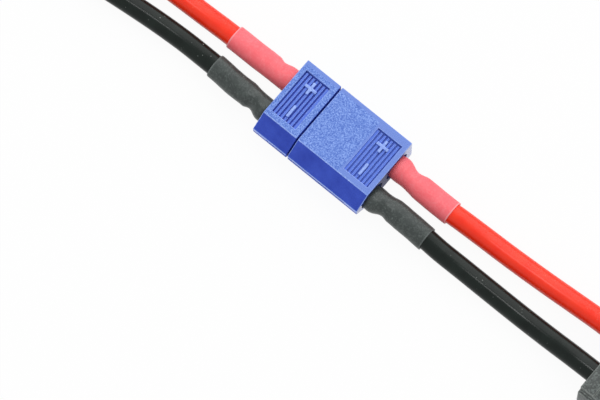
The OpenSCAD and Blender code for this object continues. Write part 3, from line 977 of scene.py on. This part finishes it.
def along(route, x):
    """Point of a route at x."""
    ordered = sorted(route, key=lambda p: p.x)
    for p, q in zip(ordered, ordered[1:]):
        if p.x <= x <= q.x:
            return p.lerp(q, (x - p.x) / (q.x - p.x))
    return ordered[0] if x < ordered[0].x else ordered[-1]


def silicone_lead(name, points, material, body, replaced):
    """Round lead along a route, as a curve; returns it with its route and length."""
    route = smooth_route(points)
    line = bpy.data.curves.new(name, "CURVE")
    line.dimensions = "3D"
    spline = line.splines.new("POLY")
    spline.points.add(len(route) - 1)
    for point, place in zip(spline.points, route):
        point.co = (*place, 1)
    spline.use_smooth = True
    line.bevel_depth = LEAD_D / 2
    line.bevel_resolution = 10
    line.use_fill_caps = True
    line.materials.append(material)
    lead = bpy.data.objects.new(name, line)
    bpy.context.scene.collection.objects.link(lead)
    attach(lead, body)
    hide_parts(replaced)
    length = sum((q - p).length for p, q in zip(route, route[1:]))
    return lead, route, length


# Each sleeve as it shrank: its length, where its neck is, how long the slopes before and behind
# the neck are, how far the outer and the inner side sink there, and its flare at the housing, in mm
SLEEVES = {
    "plug_red": (14.4, 3.7, 2.4, 1.2, 0.38, 0.04, 0.1),
    "plug_black": (13.6, 3.2, 2.3, 1.5, 0.62, 0.06, 0.1),
    "socket_red": (13.6, 3.9, 2.7, 2.6, 0.62, 0.2, 0.15),
    "socket_black": (13.1, 3.8, 2.7, 1.4, 0.4, 0.15, 0.4),
}
# Radius over the insulation, and how much less the inner side has, in mm
SLEEVE_R = 2.46
INNER_LESS = 0.04
# Half height over the solder cup, where the cup ends and how long the slope behind it is, in mm
CUP_HALF_H = 2.56
CUP_END = 2.3
CUP_SLOPE = 0.9
# Where the flare starts to narrow, and how far the neck flattens, in mm
FLARE_START = 1.2
NECK_FLAT = 0.06
# Rounding of the lip at the housing, where it starts and how long it is, in mm
LIP_ROUND = 0.18
LIP_START = -0.3
LIP_L = 1.0
# Rounding of the free end, in mm
TIP_ROUND = 0.04
TIP_L = 0.05
# Up to where the sleeve leaves the pole's axis for the lead's route, and over what length, in mm
LEAVE_END = 5.6
LEAVE_L = 4
# Width of the band at the cut end of a sleeve that carries the painted highlight
CUT_HIGHLIGHT_W = 0.2 * MM
SLEEVE_WALL = 0.3 * MM
SLEEVE_SIDES = 40
CRINKLE_SIZE = 1.6 * MM
CRINKLE_HEIGHT = 0.09 * MM


def ease(t):
    """Smooth step from 0 to 1."""
    t = min(1, max(0, t))
    return t * t * (3 - 2 * t)


def sleeve_rings(name, side, pole, route):
    """Centre, half width and half height of each ring of a sleeve, from the housing outwards."""
    length, neck, before, behind, dip_out, dip_in, flare = SLEEVES[name]
    back, way = BACKS[side]
    # Close together over the cup, the neck and the cut end
    places = [-0.7, -0.3, 0.1, 0.5, 1.0, 1.5, 2.0]
    places += [2.4 + 0.4 * k for k in range(10)]
    places += [6.6, 7.4, 8.8, 10.4, length - 1, length - 0.35, length - 0.12, length]
    rings = []
    for s in places:
        falling = ease((neck + behind - s) / behind)
        dent = ease((s - neck + before) / before) if s < neck else falling
        past_cup = ease((s - CUP_END) / CUP_SLOPE)
        widening = flare * (1 - ease((s - FLARE_START) / (neck - FLARE_START)))
        less = LIP_ROUND * (1 - ease((s - LIP_START) / LIP_L))
        if s > length - TIP_L:
            less += TIP_ROUND
        outer = SLEEVE_R + widening - dip_out * dent - less
        inner = SLEEVE_R - INNER_LESS - dip_in * dent - less
        half_height = CUP_HALF_H + (SLEEVE_R - CUP_HALF_H) * past_cup - less
        half_height -= NECK_FLAT * past_cup * falling
        x = back + way * s * MM
        free = along(route, x)
        hold = ease((LEAVE_END - s) / LEAVE_L)
        middle_y = hold * pole * POLE_Y + (1 - hold) * free.y + pole * (outer - inner) / 2 * MM
        middle_z = hold * AXIS_Z + (1 - hold) * free.z
        rings.append((Vector((x, middle_y, middle_z)), (outer + inner) / 2 * MM, half_height * MM))
    return rings


def shrink_sleeve(side, pole, route):
    """Tube drawn ring by ring from the housing over the cup, its neck and the insulation."""
    word, colour, _, material, cut_highlight = POLES[pole]
    name = f"{side}_{colour}"
    rings = sleeve_rings(name, side, pole, route)
    sleeve = add_ring(f"{name}_sleeve", *rings[0], SLEEVE_SIDES)
    for (last, last_w, last_h), (centre, half_w, half_h) in zip(rings, rings[1:]):
        extrude(*(centre - last))
        bpy.ops.transform.resize(
            value=(1, half_w / last_w, half_h / last_h), center_override=centre
        )
    face_outwards()
    end_edit()
    apply_modifier(sleeve, "SUBSURF", levels=1, render_levels=1)
    crinkle = bpy.data.textures.new(f"{name}_crinkle", "CLOUDS")
    crinkle.noise_scale = CRINKLE_SIZE
    crinkle.noise_depth = 1
    apply_modifier(
        sleeve,
        "DISPLACE",
        texture=crinkle,
        texture_coords="LOCAL",
        strength=CRINKLE_HEIGHT,
        mid_level=0.5,
    )
    apply_modifier(sleeve, "SOLIDIFY", thickness=SLEEVE_WALL, offset=-1, use_even_offset=True)
    for finish in (material, cut_highlight):
        sleeve.data.materials.append(finish)
    tip = rings[-1][0].x
    start_edit(sleeve)
    # The band at the cut end takes the painted highlight
    pick_faces(sleeve, lambda middle, normal: abs(middle.x - tip) < CUT_HIGHLIGHT_W)
    paint_picked(sleeve, HIGHLIGHT_SLOT)
    end_edit()
    smooth(sleeve, angle=50)
    dress(sleeve, material, f"{side}_side", colour + "_shrink_sleeve", f"{side}_sleeve_{word}")


STRANDS = 10
STRAND_SIDES = 4
BUNDLE_R = 1.2 * MM
# Share of the radius that the grooves between the strands keep
STRAND_GROOVE = 0.84
# Turn of the strands in degrees to a mm
STRAND_TWIST = 26
# Steps along the strands: length in mm, and what is left of the radius after it
STRAND_STEPS = [(0.4, 1)] * 14 + [(0.2, 0.93), (0.13, 0.8), (0.07, 0.55)]


def tinned_strands(name, tip, body, replaced):
    """Twisted tinned strands that stick out of a lead's end."""
    start = Vector(tip) * MM
    bundle = add_ring(name, start, BUNDLE_R, BUNDLE_R, STRAND_SIDES * STRANDS)
    bpy.ops.mesh.select_mode(type="VERT")
    bpy.ops.mesh.select_all(action="DESELECT")
    mesh = bmesh.from_edit_mesh(bundle.data)
    mesh.verts.ensure_lookup_table()
    for index, vertex in enumerate(mesh.verts):
        vertex.select_set(index % STRAND_SIDES == 0)
    mesh.select_flush_mode()
    bmesh.update_edit_mesh(bundle.data)
    bpy.ops.transform.resize(value=(1, STRAND_GROOVE, STRAND_GROOVE), center_override=start)
    bpy.ops.mesh.select_mode(type="EDGE")
    bpy.ops.mesh.select_all(action="SELECT")
    place = start.copy()
    for length, left in STRAND_STEPS:
        step = Vector((-length * MM, 0, 0))
        extrude(*step)
        place += step
        bpy.ops.transform.rotate(
            value=math.radians(STRAND_TWIST * length), orient_axis="X", center_override=place
        )
        if left < 1:
            bpy.ops.transform.resize(value=(1, left, left), center_override=place)
    bpy.ops.mesh.edge_face_add()
    pick_edges(
        bundle, lambda middle, line: abs(middle.x - start.x) < HAIR and abs(line.x) < 1 - SQUARE
    )
    bpy.ops.mesh.edge_face_add()
    face_outwards()
    end_edit()
    smooth(bundle, angle=60)
    dress(bundle, TINNED, body, "solder", replaced)
    return bundle


# End connector: its ends and middle, and the leads' places in it
END_BACK = 65.9 * MM
END_FRONT = 87.9 * MM
END_Y = 0.9 * MM
END_Z = 4.25 * MM
END_LEADS = (5.1 * MM, -3.3 * MM)
# Half widths of the body and its raised top, and the heights of the shoulders and the top
END_HALF_W = 9.5 * MM
END_TOP_HALF_W = 8.8 * MM
END_SHOULDER_Z = 6.6 * MM
END_TOP_Z = 8.1 * MM
# Collar along the back of the top
COLLAR_L = 3 * MM
COLLAR_H = 0.4 * MM
# Nose at the front: its length, how far it runs into the body, its step in from the body and its top
END_NOSE_L = 8 * MM
END_NOSE_ROOT = 1.5 * MM
END_NOSE_STEP = 1.3 * MM
END_NOSE_TOP_Z = 7.2 * MM
END_ROUND = 0.25 * MM
# Round entries for the leads, and slots for the blades, from the back on
ENTRY_L = 8.6 * MM
ENTRY_D = 4.6 * MM
SLOT_START = 7.3 * MM
SLOT_HALF_W = 3.3 * MM
SLOT_HALF_H = 1.3 * MM


def end_cutters():
    """Cutters for the entries of the leads and the slots of the blades."""
    cutters = []
    for y in END_LEADS:
        entry_end = END_BACK + ENTRY_L
        cutters.append(add_rod("entry", END_BACK - CUT_PAST, entry_end, y, END_Z, ENTRY_D))
        cutters.append(
            add_block(
                "slot",
                END_BACK + SLOT_START,
                END_FRONT + CUT_PAST,
                y - SLOT_HALF_W,
                y + SLOT_HALF_W,
                END_Z - SLOT_HALF_H,
                END_Z + SLOT_HALF_H,
            )
        )
    return cutters


def end_connector():
    """Black two-pole housing: a body with shoulders, a raised top with a collar, and a nose."""
    nose_start = END_FRONT - END_NOSE_L
    collar_end = END_BACK + COLLAR_L
    y0 = END_Y - END_HALF_W
    y1 = END_Y + END_HALF_W
    block = add_block("end_shell", END_BACK, nose_start, y0, y1, 0, END_SHOULDER_Z)
    for material in (BLACK_NYLON, BLACK_HIGHLIGHT_EDGE):
        block.data.materials.append(material)
    start_edit(block)

    def on_top(middle, normal):
        return normal.z > LEVEL and middle.z > END_SHOULDER_Z - NEAR

    def on_raised(middle, normal):
        return on_top(middle, normal) and abs(middle.y - END_Y) < END_TOP_HALF_W

    slice_faces(block, on_top, 1, (END_Y - END_TOP_HALF_W, END_Y + END_TOP_HALF_W))
    slice_faces(block, on_top, 0, (collar_end,))
    pick_faces(block, on_raised)
    extrude(0, 0, END_TOP_Z - END_SHOULDER_Z)
    pick_faces(block, lambda middle, normal: on_raised(middle, normal) and middle.x < collar_end)
    extrude(0, 0, COLLAR_H)
    end_edit()
    nose = add_block(
        "end_nose",
        nose_start - END_NOSE_ROOT,
        END_FRONT,
        y0 + END_NOSE_STEP,
        y1 - END_NOSE_STEP,
        END_NOSE_STEP,
        END_NOSE_TOP_Z,
    )
    combine(block, "UNION", [nose])
    # The rounded edges take the painted highlight
    round_edges(block, END_ROUND, segments=3, angle=40, slot=HIGHLIGHT_SLOT)
    combine(block, "DIFFERENCE", end_cutters())
    smooth(block)
    dress(block, BLACK_NYLON, "socket_side", "black_nylon", "end_housing")
    return block


def add_lead(side, pole, end_pieces):
    """A lead with the sleeve over its solder joint; a plug lead also gets its tinned strands."""
    word, colour, lead_finish, *_ = POLES[pole]
    body = f"{side}_side"
    points = list(zip(ROUTE_X[side], ROUTE_Y[side, pole], ROUTE_Z[side]))
    lead, route, length = silicone_lead(
        f"{side}_{colour}_lead",
        points,
        lead_finish,
        body,
        f"{side}_lead_{word}",
    )
    if side == "plug":
        ends = [tinned_strands(f"{colour}_lead_strands", points[-1], body, f"tinned_end_{word}")]
    else:
        # The end pieces of the positive lead, and of the negative lead only the end housing; nothing
        # uses them further
        ends = end_pieces if pole > 0 else [end_pieces[0]]
    shrink_sleeve(side, pole, route)


# Table and light


TABLE_SIZE = 6
PAPER = (0.9, 0.9, 0.9, 1)
# Share of plain white in what is seen of the table
PLAIN_WHITE = 0.94
# Strength of the world as light; as a background it is white
SKY_LIGHT = 0.61


def backdrop_rays(tree):
    """1 for the rays that see the background: straight on, mirrored or through glass."""
    seen = node(tree, "ShaderNodeLightPath").outputs
    direct = either(tree, seen["Is Camera Ray"], seen["Is Glossy Ray"])
    return either(tree, direct, seen["Is Transmission Ray"])


def white_table():
    """Paper that takes the object's shadow, seen as nearly plain white."""
    bpy.ops.object.select_all(action="DESELECT")
    bpy.ops.mesh.primitive_plane_add(size=TABLE_SIZE, location=(0, 0, 0))
    table = bpy.context.object
    table.name = "table"
    material = bpy.data.materials.new("white_table")
    material.use_nodes = True
    tree = material.node_tree
    tree.nodes.clear()
    paper = node(tree, "ShaderNodeBsdfDiffuse")
    paper.inputs["Color"].default_value = PAPER
    glow = node(tree, "ShaderNodeEmission")
    share = maths(tree, "MULTIPLY", backdrop_rays(tree), PLAIN_WHITE)
    blend = node(tree, "ShaderNodeMixShader")
    out = node(tree, "ShaderNodeOutputMaterial")
    for source, target in (
        (share, blend.inputs[0]),
        (paper.outputs[0], blend.inputs[1]),
        (glow.outputs[0], blend.inputs[2]),
        (blend.outputs[0], out.inputs["Surface"]),
    ):
        tree.links.new(source, target)
    table.data.materials.append(material)


def white_world():
    """World that lights the object plainly and is white as a background."""
    world = bpy.data.worlds.new("studio")
    bpy.context.scene.world = world
    world.use_nodes = True
    tree = world.node_tree
    sky = tree.nodes["Background"]
    sky.inputs["Color"].default_value = (1, 1, 1, 1)
    strength = spread(tree, backdrop_rays(tree), 0, 1, SKY_LIGHT, 1)
    tree.links.new(strength, sky.inputs["Strength"])


def area_lamp(name, place, aim, shape, size, length, power):
    bpy.ops.object.light_add(type="AREA", location=place)
    lamp = bpy.context.object
    lamp.name = name
    lamp.data.shape = shape
    lamp.data.size = size
    lamp.data.size_y = length
    lamp.data.energy = power
    lamp.rotation_mode = "QUATERNION"
    lamp.rotation_quaternion = (aim - place).to_track_quat("-Z", "Y")


def add_lamps(right):
    """A softbox along the leads on their positive side, and a small lamp overhead."""
    away = Vector((-right.y, right.x, 0))
    beside = Vector((-0.15, 0, 0))
    softbox = beside + Vector((0, 0.72, 0.76))
    area_lamp("softbox", softbox, beside, "RECTANGLE", size=0.62, length=1.4, power=6.0)
    overhead = away * 0.06 - right * 0.15 + Vector((0, 0, 1))
    area_lamp("lamp_overhead", overhead, Vector(), "DISK", size=0.13, length=0.13, power=1.1)


picture_right = place_camera()

end_pieces = [end_connector(), nodes["end_contact_positive"], nodes["end_contact_negative"]]
for side, pole in ROUTE_Y:
    add_lead(side, pole, end_pieces)
housing("plug", PLUG_BACK, GRIP_FRONT, NOSE_TIP, SHROUD_WALL + NOSE_CLEARANCE)
housing("socket", SOCKET_BACK, SHROUD_MOUTH, SHROUD_FLOOR, SHROUD_WALL)
polarity_signs()

for name, solid in nodes.items():
    for word, finish in SOLID_FINISHES.items():
        if word in name:
            solid.data.materials.clear()
            solid.data.materials.append(finish)

white_table()
white_world()
add_lamps(picture_right)
bpy.context.scene.view_settings.view_transform = "Standard"
